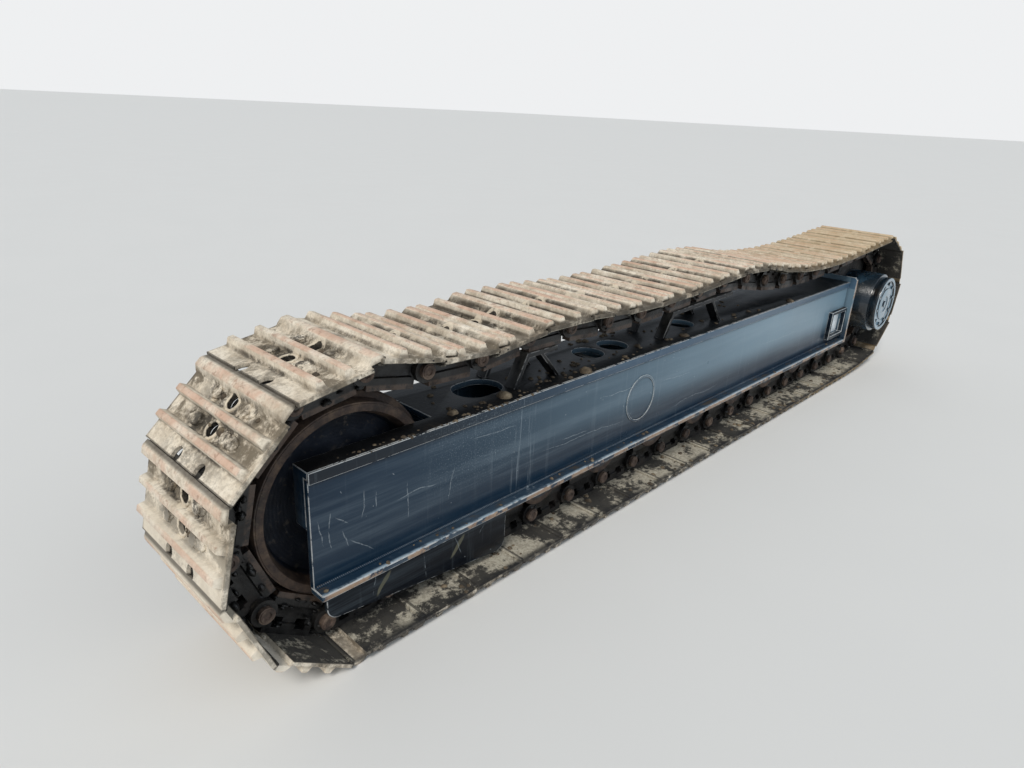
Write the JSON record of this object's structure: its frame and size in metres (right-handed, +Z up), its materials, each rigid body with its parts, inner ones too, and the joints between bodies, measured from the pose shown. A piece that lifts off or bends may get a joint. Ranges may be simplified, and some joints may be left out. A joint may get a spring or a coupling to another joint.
{
  "type": "crawler track unit",
  "caption": "One crawler track unit of a tracked screening plant: box beam, idler, sprocket with final drive, bottom rollers, chain and triple-grouser shoes.",
  "frame": {"origin": "on the ground under the middle of the track's length and width", "axes": "+X along the track towards the sprocket, -Y the outer side, +Y the chassis side, +Z up"},
  "size_m": [3.0828, 0.356, 0.5889],
  "materials": {
    "shoe_steel": "steel shoes under dried clay, rusty on the grouser crests",
    "chain_steel": "oily black steel with rust-brown pin ends",
    "wheel_steel": "worn steel, rust brown where the chain doesn't run",
    "frame_paint": "dark slate-blue gloss paint, scratched",
    "drive_paint": "dark gloss paint, wet with oil",
    "black_steel": "black paint under grease and mud",
    "blank_plate": "plain white, blank"
  },
  "bodies": {
    "root": {"blank_plate": "blank_plate", "drive_carrier": "drive_paint", "drive_cover": "drive_paint", "drive_hub": "drive_paint", "drive_motor": "drive_paint", "end_plate": "frame_paint", "front_bracket": "frame_paint", "front_skid": "black_steel", "idler": "wheel_steel", "idler_shaft": "wheel_steel", "inner_bottom_flange": "frame_paint", "inner_guard": "frame_paint", "inner_idler_block": "wheel_steel", "inner_links": "chain_steel", "inner_side_plate": "frame_paint", "inner_top_strip": "frame_paint", "middle_skid": "black_steel", "outer_bottom_flange": "frame_paint", "outer_guard": "frame_paint", "outer_idler_block": "wheel_steel", "outer_links": "chain_steel", "outer_side_plate": "frame_paint", "outer_top_strip": "frame_paint", "plate_frame": "frame_paint", "plug_bead": "frame_paint", "rear_bracket": "frame_paint", "recoil_cylinder": "black_steel", "recoil_stop": "black_steel", "roller_1": "wheel_steel", "roller_2": "wheel_steel", "roller_3": "wheel_steel", "roller_4": "wheel_steel", "roller_5": "wheel_steel", "roller_6": "wheel_steel", "roller_7": "wheel_steel", "roller_8": "wheel_steel", "roller_9": "wheel_steel", "roller_saddles": "wheel_steel", "roller_shafts": "wheel_steel", "sprocket": "chain_steel", "tension_fork": "black_steel", "top_plate": "frame_paint", "track_pins": "chain_steel", "track_shoes": "shoe_steel"}
  },
  "joints": []
}
